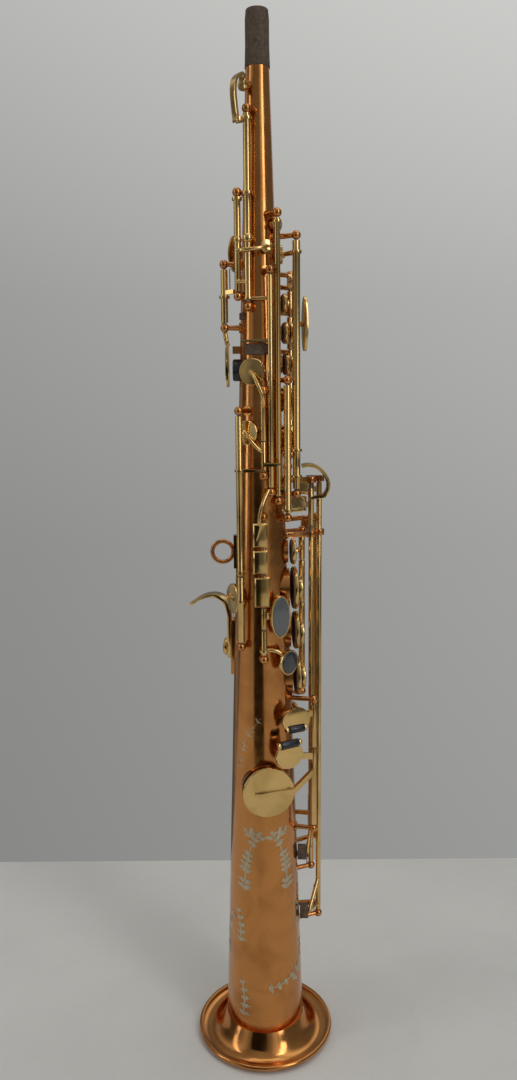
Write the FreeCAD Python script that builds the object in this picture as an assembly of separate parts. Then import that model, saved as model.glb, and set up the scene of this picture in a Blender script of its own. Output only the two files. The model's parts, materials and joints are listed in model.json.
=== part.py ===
import FreeCAD, Part
import math
import os

# Straight soprano saxophone standing on its bell. Millimetres, +Z up along the bore.
# The origin is the centre of the ring the bell rests on. +X is the front, where the
# finger stacks are, and +Y is the player's left. Every hinge lies parallel to Z.

V = FreeCAD.Vector
UP = V(0, 0, 1)

# ---- overall sizes ----
TOTAL_LENGTH = 649.0        # floor to the tip of the neck cork
BASE_DIAMETER = 52.6        # outside of the cone, carried down to the floor
NECK_DIAMETER = 14.0        # outside of the cone where the cork begins
TUBE_WALL = 0.9
CORK_LENGTH = 31.0
CORK_PIN_R = 7.0            # parallel part that the mouthpiece slides on
CORK_PIN_LENGTH = 14.0
CORK_TIP_R = 6.5
CORK_LIP_R = 7.4
CORK_WALL = 1.6
NECK_SHOULDER = 5.0         # length over which the bore narrows to the tip under the cork
BELL_RADIUS = 45.7          # outside of the rolled rim
BEAD_R = 1.7
BEAD_HEIGHT = 3.4           # centre of the rolled rim above the floor
BELL_WALL = 1.0
FLARE_START = 22.0          # where the bell is soldered on
FLARE_FILLET = 14.0         # where the tube begins to turn out
REST_INNER = 36.5           # ring that stands on the floor
REST_OUTER = 40.5
# The tube is drawn in lengths, inside and outside, that meet at these heights, clear of the tone holes.
TUBE_SEAMS = (40.0, 82.0, 126.0, 164.0, 205.0, 236.5, 267.5, 296.5, 324.5, 352.0, 391.5, 417.0, 437.0,
              457.5, 476.5, 505.5, 545.0, 580.0)

# ---- keywork sizes ----
ROD_R = 1.0                 # steel hinge rods
ROD_FIT = 0.05              # running clearance of a hinge tube on its rod
END_GAP = 0.3               # side play between a tube and the next piece
BALL_R = 2.7                # ball head of a post
STEM_R = 1.35
FOOT_R = 3.1
FOOT_T = 0.8
ARM_W = 3.0
ARM_T = 1.7
CHIMNEY_WALL = 0.8
CHIMNEY_RISE = 1.0          # rim of a tone hole above the crest of the tube
SEAT_GAP = 0.05             # closed pad to tone hole rim
CUP_T = 2.2                 # key cup, outside to edge
CUP_TOP = 0.9
PAD_PROUD = 0.7             # pad below the edge of its cup
CUP_MARGIN = 2.0            # cup radius over tone hole radius
PEARL_T = 1.7
PEARL_RIM = 0.9
VENT_R = 2.0
VENT_BORE_R = 0.8
VENT_CUP_R = 3.6
CUP_DOME = 0.5              # rise of the middle of a key cup
CUP_DOME_MARGIN = 1.1       # flat rim left round the dome
PEARL_LIFT = 2.0            # pearl above the crown of its cup
TOUCH_T = 2.8               # side touch
TOUCH_OUT = 2.7             # middle of a side touch outside its hinge line
LOW_C_GAP = 2.6             # opening of the low C cup at rest
BUMPER = 5.6                # side of a cork bumper block
PLATE_FACING = -66.0        # direction the right little-finger plates face
ROLLER_R = 2.5
ROLLER_PIN_R = 0.8
SPRING_R = 0.3              # needle spring wire
FRONT_F_PEARL_R = 3.6
TRILL_PEARL_R = 7.0
FSHARP_PEARL = (25.0, 11.8)     # length and width of the oval pearl
FSHARP_RIM = 0.8

# ---- fittings on the tube ----
BRACKET_HINGES = ["pinky_table", "low_b", "low_bb"]     # in order along the comb plates
BRACKET_T = 3.6
BRACKET_STEM = 6.0          # azimuth of the stem of a comb plate
LOWER_BRACKET = 344.2       # middle heights of the two little-finger brackets
UPPER_BRACKET = 378.8
RING_CENTRE_OUT = 24.4
RING_R = 6.6
RING_WIRE_R = 1.3
RING_HEIGHT = 334.0
RING_BASE = (3.4, 6.0, 21.0)    # depth, width and height of the ring's base
THUMB_REST_HEIGHT = 446.5
THUMB_REST_R = 6.6
THUMB_REST_PROUD = 4.2
GUARD_HEIGHT = 458.5
GUARD_SIZE = (6.5, 6.0, 4.2)
HOOK_AZIMUTH = 165.0
HOOK_LOW = 253.0
HOOK_HIGH = 289.0
HOOK_WIDTH = 9.0
HOOK_T = 2.2
HOOK_TRAVEL = 3.0
HOOK_PLATE_PROUD = 2.0      # face of the hook's plate over the tube
HOOK_FIT = 0.1              # sliding gap between the hook and its plate
SCREW_HEIGHT = 270.5
SCREW_R = 1.6
KNOB_R = 6.0
KNOB_T = 2.6

REFERENCE_LENGTH = 649.0    # the tables below give heights for this length

# hinge lines: azimuth, standoff at the low end, low height, high height, tube radius
HINGES = {
    "neck_octave": (-116.9, 3.0, 483.0, 592.5, 2.15),
    "octave_vent": (-139.5, 5.4, 489.0, 547.5, 2.0),
    "thumb_octave": (-173.0, 9.5, 471.5, 508.5, 2.1),
    "octave_link": (-68.5, 2.6, 373.0, 503.5, 1.75),
    "high_fsharp": (-52.9, 3.0, 367.5, 535.5, 1.75),
    "high_e": (-25.7, 9.7, 371.5, 523.5, 2.3),
    "articulation": (-38.7, 5.8, 357.0, 440.0, 2.3),
    "side_bb": (-124.0, 5.3, 277.0, 422.0, 2.1),
    "side_cups": (-84.0, 3.2, 383.0, 434.0, 1.7),
    "side_touches": (-86.5, 3.8, 269.5, 358.5, 1.8),
    "upper_stack": (34.4, 9.1, 394.0, 504.0, 2.0),
    "lower_stack": (32.2, 12.2, 236.0, 345.0, 2.1),
    "low_bb": (19.3, 15.6, 76.0, 377.0, 1.75),
    "low_b": (22.0, 12.0, 112.0, 377.0, 1.75),
    "low_csharp": (30.0, 19.4, 130.0, 353.0, 1.75),
    "right_pinky": (-13.0, 11.9, 150.0, 238.5, 2.1),
    "palm_d": (44.3, 16.9, 458.0, 497.0, 1.8),
    "palm_eb": (105.3, 11.6, 470.5, 508.0, 1.8),
    "palm_f": (90.0, 10.1, 514.0, 546.0, 1.8),
    "g_sharp": (38.0, 7.5, 364.0, 386.5, 1.9),
    "pinky_table": (8.0, 16.3, 346.0, 377.0, 1.75),
}

# tone holes: azimuth, height, hole radius
TONE_HOLES = {
    "low_bb": (90.0, 60.0, 15.5),
    "low_b": (90.0, 104.0, 14.5),
    "low_csharp": (78.0, 146.0, 11.5),
    "low_c": (-85.0, 183.8, 14.6),
    "low_eb": (20.0, 221.5, 7.6),
    "d": (0.0, 252.5, 10.6),
    "e": (0.0, 282.8, 10.2),
    "f": (0.0, 310.4, 11.6),
    "f_sharp": (0.0, 333.8, 6.2),
    "g_sharp": (75.0, 377.0, 6.3),
    "g": (5.0, 404.5, 7.4),
    "a": (5.0, 428.5, 6.6),
    "bis": (5.0, 450.0, 4.9),
    "b": (5.0, 468.5, 4.5),
    "c": (5.0, 486.0, 3.7),
    "side_bb": (-120.0, 409.0, 5.4),
    "side_c": (-107.0, 445.0, 6.1),
    "trill": (-155.0, 305.5, 7.4),
    "high_e": (-5.0, 514.0, 3.4),
    "high_fsharp": (-30.0, 530.5, 2.4),
    "palm_d": (95.0, 482.0, 4.6),
    "palm_eb": (140.0, 497.0, 4.3),
    "palm_f": (50.0, 530.0, 3.8),
}

# octave vents: azimuth, height, height of the pip over the tube
VENTS = {
    "neck": (-138.0, 607.0, 2.0),
    "body": (-72.0, 517.0, 1.6),
}

PALM_KEYS = {
    # tube low, tube high, touch azimuth, standoff, height, length, width, facing
    "palm_d": (461.0, 494.0, 27.0, 19.3, 475.0, 33.0, 11.0, 12.0),
    "palm_eb": (474.0, 505.0, 76.0, 17.6, 487.0, 26.0, 11.0, 78.0),
    "palm_f": (517.0, 543.0, 128.0, 13.0, 518.0, 22.0, 10.0, 128.0),
}

STACK_KEYS = {
    # hinge, tube low, tube high, gap of the open pad, pearl radius, pearl offset in height
    "c": ("upper_stack", 479.5, 494.5, 1.2, 0.0, 0.0),
    "b": ("upper_stack", 459.5, 479.0, 1.2, 5.6, 0.0),
    "bis": ("upper_stack", 439.5, 459.0, 1.2, 4.0, 0.0),
    "a": ("upper_stack", 416.5, 439.0, 1.4, 6.0, 0.0),
    "g": ("upper_stack", 397.0, 416.0, 1.4, 6.0, 0.0),
    "f_sharp": ("lower_stack", 325.5, 342.0, 1.5, 0.0, 0.0),
    "f": ("lower_stack", 297.5, 325.0, 1.6, 7.0, -0.5),
    "e": ("lower_stack", 271.5, 297.0, 1.6, 7.0, -2.3),
    "d": ("lower_stack", 239.0, 271.0, 1.6, 7.0, -1.0),
}

SIDE_TOUCHES = {
    # tube low, tube high, width, lean
    "side_e": (340.0, 355.5, 8.8, 0.0),
    "side_c": (323.5, 339.0, 8.8, 0.0),
    "side_bb": (303.0, 322.5, 9.4, 1.0),
}

PINKY_TOUCHES = {
    # hinge, arm height, touch azimuth, standoff, facing, plate height, plate width
    "low_csharp": (344.0, 47.0, 31.5, 70.0, 11.0, 11.0),
    "low_b": (361.5, 47.0, 20.5, 50.0, 9.4, 12.0),
    "low_bb": (371.6, 48.0, 25.0, 50.0, 9.4, 13.0),
}

LOW_KEYS = {
    # tube low, arm height, open gap, foot height on the tube, foot azimuth, foot height
    "low_b": (115.0, 119.0, 2.6, 141.0, -4.0, 130.0),
    "low_bb": (79.0, 84.0, 2.8, 102.0, -3.0, 87.0),
}

PINKY_PLATES = {
    # azimuth, standoff, height, width, tall, roller shift, roller length
    "low_c": (-58.5, 8.8, 208.5, 19.0, 17.0, 7.6, 12.5),
    "low_eb": (-43.5, 9.6, 229.5, 19.0, 16.0, -5.8, 10.5),
}

# hinge, height of the spring's foot, length
NEEDLE_SPRINGS = [
    ("low_bb", 77.5, 20.0),
    ("low_b", 113.5, 16.0),
    ("right_pinky", 151.5, 22.0),
    ("thumb_octave", 494.0, 12.0),
    ("side_bb", 278.5, 12.0),
]

BUMPERS = [
    # azimuth, height, tall, width, proud of the tube
    (-97.0, 458.4, 6.4, 14.0, 1.3),
    (-150.0, 478.0, 4.0, 4.0, 1.5),
    (60.0, 440.0, 5.0, 4.0, 1.5),
]

CONE_TOP = TOTAL_LENGTH - CORK_LENGTH


def station(height):
    """Height of a feature: tone holes and posts keep their share of the air column."""
    return height * TOTAL_LENGTH / REFERENCE_LENGTH


def body_radius(z):
    share = z / CONE_TOP
    return 0.5 * (BASE_DIAMETER + (NECK_DIAMETER - BASE_DIAMETER) * share)


def polar(azimuth, radius, z=0.0):
    angle = math.radians(azimuth)
    return V(radius * math.cos(angle), radius * math.sin(angle), z)


def off_body(azimuth, standoff, height):
    """Point at a distance off the tube's surface, at a table height."""
    z = station(height)
    return polar(azimuth, body_radius(z) + standoff, z)


# ---- basic solids ----
def rod(start, end, radius):
    axis = end - start
    return Part.makeCylinder(radius, axis.Length, start, axis)


def taper(start, end, radius_start, radius_end):
    axis = end - start
    return Part.makeCone(radius_start, radius_end, axis.Length, start, axis)


def bar(points, radius):
    """Round bar through the points, with a knuckle at each bend."""
    pieces = []
    for start, end in zip(points, points[1:]):
        pieces.append(rod(start, end, radius))
    for point in points:
        pieces.append(Part.makeSphere(radius * 1.04, point))
    return merge(pieces)


def curved_bar(points, radius):
    """Round arm that bends smoothly through the points."""
    curve = Part.BSplineCurve()
    curve.interpolate(points)
    spine = Part.Wire(curve.toShape())
    heading = curve.tangent(curve.FirstParameter)[0]
    ring = Part.Wire(Part.Circle(points[0], heading, radius).toShape())
    arm = spine.makePipeShell([ring], True, True)
    ends = [Part.makeSphere(radius, points[0]), Part.makeSphere(radius, points[-1])]
    return merge([arm] + ends)


def curved_strip(points, width, thick, wide):
    """Flat arm that bends smoothly through the points, its width always along wide."""
    curve = Part.BSplineCurve()
    curve.interpolate(points)
    flat = curve.tangent(curve.FirstParameter)[0].cross(wide).normalize()
    corners = []
    for a, b in ((-1, -1), (1, -1), (1, 1), (-1, 1)):
        corners.append(points[0] + wide * (a * width / 2) + flat * (b * thick / 2))
    corners.append(corners[0])
    sweep = Part.BRepOffsetAPI.MakePipeShell(Part.Wire(curve.toShape()))
    sweep.setBiNormalMode(wide)
    sweep.add(Part.makePolygon(corners))
    sweep.build()
    sweep.makeSolid()
    return sweep.shape()


def strip(start, end, wide_start, wide_end, thick, wide_along=UP):
    """Flat tapered arm whose width lies along wide_along."""
    along = (end - start).normalize()
    wide = wide_along - along * wide_along.dot(along)
    wide.normalize()
    flat = along.cross(wide)
    sections = []
    for point, width in ((start, wide_start), (end, wide_end)):
        corners = []
        for a, b in ((-1, -1), (1, -1), (1, 1), (-1, 1)):
            corners.append(point + wide * (a * width / 2) + flat * (b * thick / 2))
        corners.append(corners[0])
        sections.append(Part.makePolygon(corners))
    return Part.makeLoft(sections, True, True)


def disc(centre, normal, radius, height):
    return Part.makeCylinder(radius, height, centre, normal)


def merge(shapes):
    result = shapes[0]
    if len(shapes) > 1:
        result = result.fuse(shapes[1:])
    return result.removeSplitter()


def oriented_box(centre, along, wide, length, width, height):
    """Box centred on a point: length along one direction, width along the next."""
    x = V(along).normalize()
    y = V(wide).normalize()
    z = x.cross(y)
    corner = centre - x * (length / 2) - y * (width / 2) - z * (height / 2)
    box = Part.makeBox(length, width, height)
    turn = FreeCAD.Rotation(x, y, z, "ZXY")
    box.Placement = FreeCAD.Placement(corner, turn)
    return box


def around(shape, hinge, degrees):
    """Copy of a shape turned about a hinge line."""
    turned = shape.copy()
    turned.rotate(hinge_point(hinge), UP, degrees)
    return turned


# ---- hinges ----
def hinge_point(name, height=None):
    azimuth, standoff, low, high, radius = HINGES[name]
    radial = body_radius(station(low)) + standoff
    z = station(low if height is None else height)
    return polar(azimuth, radial, z)


def hinge_radius(name):
    return HINGES[name][4]


def hinge_tube(name, low, high):
    start = hinge_point(name, low) + UP * (END_GAP / 2)
    end = hinge_point(name, high) - UP * (END_GAP / 2)
    return rod(start, end, hinge_radius(name))


def bored(shape, name):
    """Cut the running bore for a hinge rod right through a key."""
    azimuth, standoff, low, high, radius = HINGES[name]
    start = hinge_point(name, low - 20)
    end = hinge_point(name, high + 20)
    return shape.cut(rod(start, end, ROD_R + ROD_FIT))


def post(name, height):
    """Ball post at a height on a hinge line, with its stem and foot on the tube."""
    centre = hinge_point(name, height)
    azimuth = HINGES[name][0]
    surface = body_radius(centre.z)
    foot = polar(azimuth, surface, centre.z)
    outward = polar(azimuth, 1.0)
    pieces = [Part.makeSphere(BALL_R, centre)]
    pieces.append(taper(foot - outward * 1.5, centre, STEM_R * 1.25, STEM_R))
    pieces.append(disc(foot - outward * 1.5, outward, FOOT_R, 1.5 + FOOT_T))
    shape = merge(pieces)
    shape = shape.cut(rod(centre - UP * 20, centre + UP * 20, ROD_R))
    return shape.cut(tube_solid())


def tube_solid():
    """The tube as a full cone, for trimming what is soldered to it."""
    return Part.makeCone(body_radius(0), body_radius(CONE_TOP), CONE_TOP)


# ---- body ----
def hole_frame(name):
    azimuth, height, hole_r = TONE_HOLES[name]
    z = station(height)
    outward = polar(azimuth, 1.0)
    rim = body_radius(z) + CHIMNEY_RISE
    return outward, z, rim, hole_r


def make_body():
    inner_r = body_radius(CONE_TOP) - TUBE_WALL
    tip_r = CORK_PIN_R - CORK_WALL
    cone_base = station(FLARE_START)
    joints = [cone_base] + [station(seam) for seam in TUBE_SEAMS] + [CONE_TOP]
    lengths = []
    for low, high in zip(joints, joints[1:]):
        lengths.append(Part.makeCone(body_radius(low), body_radius(high), high - low, UP * low))
    shell = lengths[0].fuse(lengths[1:])
    shell = shell.fuse(Part.makeCylinder(tip_r, CORK_LENGTH, UP * CONE_TOP))
    chimneys = []
    bores = []
    for name in TONE_HOLES:
        outward, z, rim, hole_r = hole_frame(name)
        start = outward * (rim * 0.45) + UP * z
        chimneys.append(disc(start, outward, hole_r + CHIMNEY_WALL, rim * 0.55))
        bores.append(disc(start, outward, hole_r, rim * 0.55 + 2))
    shell = shell.fuse(chimneys)
    base_r = body_radius(cone_base) - TUBE_WALL
    neck_top = CONE_TOP - NECK_SHOULDER
    stops = [cone_base] + [station(seam) for seam in TUBE_SEAMS] + [neck_top]
    bore_slope = (inner_r - base_r) / (neck_top - cone_base)
    for low, high in zip(stops, stops[1:]):
        low_r = base_r + bore_slope * (low - cone_base)
        high_r = base_r + bore_slope * (high - cone_base)
        bores.append(Part.makeCone(low_r, high_r, high - low, UP * low))
    shoulder = taper(UP * neck_top, UP * CONE_TOP, inner_r, tip_r - TUBE_WALL)
    tip_bore = rod(UP * CONE_TOP, UP * TOTAL_LENGTH, tip_r - TUBE_WALL)
    shell = shell.cut([shoulder, tip_bore] + bores)
    for azimuth, height, pip in VENTS.values():
        start, tip = vent_line(azimuth, height, pip)
        shell = shell.cut(rod(start, tip, VENT_R))
    return shell


def vent_line(azimuth, height, pip):
    z = station(height)
    surface = body_radius(z)
    return polar(azimuth, surface - TUBE_WALL - 1.0, z), polar(azimuth, surface + pip, z)


def make_octave_pips():
    pips = []
    for azimuth, height, pip in VENTS.values():
        start, tip = vent_line(azimuth, height, pip)
        pips.append(rod(start, tip, VENT_R).cut(rod(start, tip, VENT_BORE_R)))
    return pips


def make_bell():
    """Flare from the tube's end down to the resting ring and up to the rolled rim."""
    top_r = body_radius(FLARE_START)
    turn_r = body_radius(FLARE_FILLET)
    lip_r = BELL_RADIUS - BEAD_R
    wall = BELL_WALL
    rest_mid = (REST_INNER + REST_OUTER) / 2
    outside = [V(top_r, 0, FLARE_START), V(turn_r + 0.1, 0, FLARE_FILLET)]
    edges = [Part.makeLine(outside[0], outside[1])]
    upper = Part.BSplineCurve()
    upper.interpolate([outside[1], V(turn_r + 3.2, 0, 8.6), V(rest_mid - 4.5, 0, wall + 1.6),
                       V(rest_mid, 0, wall), V(REST_OUTER + 0.6, 0, wall + 0.5),
                       V(lip_r, 0, BEAD_HEIGHT)])
    edges.append(upper.toShape())
    edges.append(Part.makeLine(V(lip_r, 0, BEAD_HEIGHT), V(lip_r + 0.8, 0, BEAD_HEIGHT - 0.6)))
    lower = Part.BSplineCurve()
    lower.interpolate([V(lip_r + 0.8, 0, BEAD_HEIGHT - 0.6), V(REST_OUTER + 1.4, 0, 0.7),
                       V(REST_OUTER, 0, 0)])
    edges.append(lower.toShape())
    edges.append(Part.makeLine(V(REST_OUTER, 0, 0), V(REST_INNER, 0, 0)))
    throat = Part.BSplineCurve()
    throat.interpolate([V(REST_INNER, 0, 0), V(turn_r + 4.5, 0, 4.2), V(turn_r + 1.3, 0, 8.4),
                        V(turn_r - wall + 0.1, 0, FLARE_FILLET)])
    edges.append(throat.toShape())
    edges.append(Part.makeLine(V(turn_r - wall + 0.1, 0, FLARE_FILLET),
                               V(top_r - wall, 0, FLARE_START)))
    edges.append(Part.makeLine(V(top_r - wall, 0, FLARE_START), outside[0]))
    profile = Part.Face(Part.Wire(edges))
    flare = profile.revolve(V(0, 0, 0), UP, 360)
    return flare.cut(make_bell_ring())


def make_bell_ring():
    return Part.makeTorus(BELL_RADIUS - BEAD_R, BEAD_R, V(0, 0, BEAD_HEIGHT), UP)


def make_cork():
    pin_top = TOTAL_LENGTH - 5.0
    pin_base = pin_top - CORK_PIN_LENGTH
    cork = taper(UP * pin_top, UP * TOTAL_LENGTH, CORK_PIN_R, CORK_TIP_R)
    cork = cork.fuse(rod(UP * pin_base, UP * pin_top, CORK_PIN_R))
    lip = taper(UP * CONE_TOP, UP * pin_base, CORK_LIP_R, CORK_PIN_R)
    cork = cork.fuse(lip)
    return cork.cut(rod(UP * CONE_TOP, UP * TOTAL_LENGTH, CORK_PIN_R - CORK_WALL))


# ---- key parts, drawn with the pad closed ----
def cup_and_pad(name):
    outward, z, rim, hole_r = hole_frame(name)
    radius = hole_r + CUP_MARGIN
    seat = outward * (rim + SEAT_GAP) + UP * z
    edge = seat + outward * PAD_PROUD
    cup = disc(edge, outward, radius, CUP_T)
    crown = edge + outward * CUP_T
    cup = cup.makeChamfer(CUP_TOP * 0.6, crown_edges(cup, crown))
    cup = cup.fuse(dome(crown, outward, radius - CUP_DOME_MARGIN))
    recess_r = radius - 0.7
    cup = cup.cut(disc(edge, outward, recess_r, CUP_T - CUP_TOP))
    pad = disc(seat, outward, recess_r, PAD_PROUD + CUP_T - CUP_TOP)
    return cup, pad, crown


def dome(crown, outward, radius):
    """Shallow cap of a large sphere standing on the crown of a cup."""
    sphere_r = (radius ** 2 + CUP_DOME ** 2) / (2 * CUP_DOME)
    ball = Part.makeSphere(sphere_r, crown - outward * (sphere_r - CUP_DOME))
    return ball.common(disc(crown - outward * 0.3, outward, radius, CUP_DOME + 0.6))


def crown_edges(cup, crown):
    edges = []
    for edge in cup.Edges:
        if edge.CenterOfMass.distanceToPoint(crown) < 0.01:
            edges.append(edge)
    return edges


def cup_arm(name, hinge, height=None, lift=0.6):
    """Arm from a hinge tube to the middle of a cup, with a boss on the cup.

    A hinge that lies lower than the cup gets a knee just outside the cup's edge.
    """
    outward, z, rim, hole_r = hole_frame(name)
    crown = outward * (rim + SEAT_GAP + PAD_PROUD + CUP_T) + UP * z
    start = hinge_point(hinge, height)
    if height is None:
        start.z = z
    end = crown + outward * lift
    boss = disc(crown - outward * 0.2, outward, 2.0, lift + 0.9)
    drop = (end - start).dot(outward)
    if drop < 3.0:
        return [strip(start, end, ARM_W, ARM_W * 0.7, ARM_T), boss]
    side = UP.cross(outward)
    across = (start - end).dot(side)
    edge = math.copysign(hole_r + CUP_MARGIN + 1.5, across)
    knee = end + side * edge + UP * ((start.z - end.z) * edge / across)
    outer = strip(start, knee, ARM_W * 1.1, ARM_W, ARM_T)
    inner = strip(knee, end, ARM_W, ARM_W * 0.7, ARM_T)
    joint = Part.makeSphere(ARM_W * 0.5, knee)
    return [outer, inner, joint, boss]


def pearl_holder(centre, outward, radius):
    """Shallow metal cup for a pearl, facing outward."""
    holder = disc(centre - outward * 0.9, outward, radius + PEARL_RIM, 1.9)
    return holder.cut(disc(centre, outward, radius, 2.0))


def pearl_disc(centre, outward, radius):
    bead = disc(centre, outward, radius, PEARL_T)
    crown = centre + outward * PEARL_T
    return bead.makeChamfer(0.5, crown_edges(bead, crown))


def key(hinge, tubes, metal):
    """One brazed key: hinge tubes and everything fixed to them, bored for the rod."""
    pieces = []
    for low, high in tubes:
        pieces.append(hinge_tube(hinge, low, high))
    return bored(merge(pieces + metal), hinge)


def padded_key(name, hinge, tubes, extra=None, arm_height=None):
    cup, pad, crown = cup_and_pad(name)
    metal = [cup] + cup_arm(name, hinge, arm_height) + (extra or [])
    solid = key(hinge, tubes, metal)
    return [solid.cut(pad), pad]


def open_by(shapes, hinge, degrees):
    return [around(shape, hinge, degrees) for shape in shapes]


def open_angle(name, hinge, gap):
    """Angle about a hinge that lifts the middle of a cup by a gap."""
    outward, z, rim, hole_r = hole_frame(name)
    centre = outward * rim
    reach = centre - hinge_point(hinge)
    lift_per_radian = UP.cross(V(reach.x, reach.y, 0)).dot(outward)
    return math.degrees(gap / lift_per_radian)


def oval_plate(centre, outward, length, width, thick):
    """Oval plate standing upright, its back on a point and its face outward."""
    long_first = length >= width
    major = max(length, width) / 2
    minor = min(length, width) / 2
    side = UP.cross(outward)
    curve = Part.Ellipse(V(0, 0, 0), major, minor)
    face = Part.Face(Part.Wire(curve.toShape()))
    plate = face.extrude(V(0, 0, thick))
    x_axis = UP if long_first else side
    turn = FreeCAD.Rotation(x_axis, outward.cross(x_axis), outward, "ZXY")
    plate.Placement = FreeCAD.Placement(centre, turn)
    return plate


def spatula(azimuth, standoff, height, length, width, facing):
    """Palm touch: an oval plate with a raised middle, facing a compass direction."""
    outward = polar(facing, 1.0)
    centre = off_body(azimuth, standoff, height)
    plate = oval_plate(centre, outward, length, width, ARM_T)
    swell = oval_plate(centre + outward * (ARM_T - 0.2), outward, length * 0.72, width * 0.62, 0.8)
    return [plate, swell], centre + outward * (ARM_T / 2)


# ---- octave mechanism ----
def vent_cup(name):
    azimuth, height, pip = VENTS[name]
    outward = polar(azimuth, 1.0)
    z = station(height)
    seat = polar(azimuth, body_radius(z) + pip + SEAT_GAP, z)
    pad = disc(seat, outward, VENT_CUP_R - 0.8, 1.6)
    cup = disc(seat + outward * 0.8, outward, VENT_CUP_R, 2.0)
    crown = seat + outward * 2.8
    return cup, pad, crown


def make_neck_octave_key():
    cup, pad, crown = vent_cup("neck")
    hinge = "neck_octave"
    across = polar(VENTS["neck"][0] + 90, 1.0)
    route = [
        hinge_point(hinge, 587.0),
        off_body(-131.0, 11.0, 585.5),
        off_body(-134.0, 12.0, 598.0),
        off_body(-133.0, 10.2, 609.5),
        off_body(-133.5, 6.6, 611.6),
        crown - polar(VENTS["neck"][0], 0.4),
    ]
    metal = [cup]
    metal.append(strip(route[0], route[1], 3.2, 3.2, ARM_T))
    metal.append(rod(route[1] - across * 2.2, route[1] + across * 2.2, 0.9))
    metal.append(curved_strip(route[1:], 4.4, 1.5, across))
    metal.append(Part.makeSphere(3.2, hinge_point(hinge, 521.5)))
    metal.append(collar(hinge, 546.5))
    metal.append(collar(hinge, 587.0))
    metal.append(collar(hinge, 487.5, 0.5))
    metal.append(bar([hinge_point(hinge, 497.0), off_body(-131.0, 8.2, 497.0)], 1.1))
    metal.append(bar([hinge_point(hinge, 487.5), off_body(-76.0, 3.8, 487.5)], 1.1))
    solid = key(hinge, [(486.5, 590.0)], metal)
    return [solid.cut(pad), pad]


def collar(hinge, height, extra=1.1, thick=1.6):
    centre = hinge_point(hinge, height)
    return rod(centre - UP * (thick / 2), centre + UP * (thick / 2), hinge_radius(hinge) + extra)


def make_body_octave_key():
    cup, pad, crown = vent_cup("body")
    hinge = "octave_vent"
    route = [
        hinge_point(hinge, 514.5),
        off_body(-120.4, 8.9, 514.5),
        off_body(-97.0, 7.4, 515.0),
        crown - polar(VENTS["body"][0], 0.3),
    ]
    metal = [cup, curved_bar(route, 1.1)]
    metal.append(Part.makeSphere(2.6, hinge_point(hinge, 521.0)))
    metal.append(collar(hinge, 543.8, 1.0))
    solid = key(hinge, [(491.5, 545.0)], metal)
    return [solid.cut(pad), pad]


def make_octave_thumb_lever():
    hinge = "thumb_octave"
    plate, back = spatula(169.0, 7.0, 451.0, 29.0, 11.0, 180.0)
    shank = curved_bar([hinge_point(hinge, 487.0), off_body(173.2, 10.8, 479.0),
                 off_body(172.0, 10.0, 471.0), back + UP * 11.0], 1.4)
    link = strip(hinge_point(hinge, 492.0), off_body(-149.0, 6.4, 492.0), 2.4, 2.4, ARM_T)
    return [key(hinge, [(474.5, 505.5)], plate + [shank, link, collar(hinge, 489.5)])]


def make_octave_link():
    hinge = "octave_link"
    far = off_body(-126.0, 6.2, 463.0)
    arm = strip(hinge_point(hinge, 463.0), far, 2.2, 1.2, ARM_T)
    return [key(hinge, [(376.0, 500.5)], [arm])]


# ---- palm keys and front F ----


def make_palm_key(name):
    low, high, azimuth, standoff, height, length, width, facing = PALM_KEYS[name]
    plate, back = spatula(azimuth, standoff, height, length, width, facing)
    root = min(max(height, low + 2), high - 2)
    arm = strip(hinge_point(name, root), back, ARM_W, ARM_W, ARM_T)
    return padded_key(name, name, [(low, high)], plate + [arm])


def make_front_f_key():
    hinge = "upper_stack"
    outward = polar(5.0, 1.0)
    centre = off_body(5.0, 7.6, 499.0)
    holder = pearl_holder(centre, outward, FRONT_F_PEARL_R)
    arm = strip(hinge_point(hinge, 499.0), centre - outward * 0.4, ARM_W, 2.4, ARM_T)
    solid = key(hinge, [(495.0, 501.0)], [holder, arm])
    pearl = pearl_disc(centre, outward, FRONT_F_PEARL_R)
    return [solid.cut(pearl), pearl]


# ---- finger stacks ----


def make_stack_key(name):
    """Open-standing stack key and its pearl, both in the rest pose."""
    hinge, low, high, gap, pearl_r, shift = STACK_KEYS[name]
    outward, z, rim, hole_r = hole_frame(name)
    cup, pad, crown = cup_and_pad(name)
    metal = [cup] + cup_arm(name, hinge)
    pearl = None
    if pearl_r:
        centre = crown + outward * PEARL_LIFT + UP * shift
        metal.append(pearl_holder(centre, outward, pearl_r))
        metal.append(disc(crown + UP * shift, outward, 1.8, PEARL_LIFT - 0.9))
        pearl = pearl_disc(centre, outward, pearl_r)
    solid = key(hinge, [(low, high)], metal).cut(pad)
    if pearl:
        solid = solid.cut(pearl)
    angle = open_angle(name, hinge, gap)
    shapes = open_by([solid, pad], hinge, angle)
    if pearl:
        shapes.append(around(pearl, hinge, angle))
    return shapes


# ---- side keys ----
def make_high_e_key():
    hinge = "high_e"
    extra = [collar(hinge, 398.0), collar(hinge, 382.0), collar(hinge, 514.0, 0.9)]
    return padded_key("high_e", hinge, [(374.5, 520.5)], extra)


def make_high_fsharp_key():
    hinge = "high_fsharp"
    foot = strip(hinge_point(hinge, 374.0), off_body(-47.0, 7.4, 374.0), 2.6, 2.0, ARM_T)
    return padded_key("high_fsharp", hinge, [(370.5, 532.5)], [foot, collar(hinge, 530.5, 0.8)])


def make_articulation_lever():
    hinge = "articulation"
    out = strip(hinge_point(hinge, 361.5), off_body(-22.5, 12.6, 361.5), 2.8, 2.0, ARM_T)
    back = strip(hinge_point(hinge, 361.5), off_body(-52.0, 6.2, 361.5), 2.8, 2.0, ARM_T)
    return [key(hinge, [(360.0, 437.0)], [out, back, collar(hinge, 361.5)])]


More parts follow.
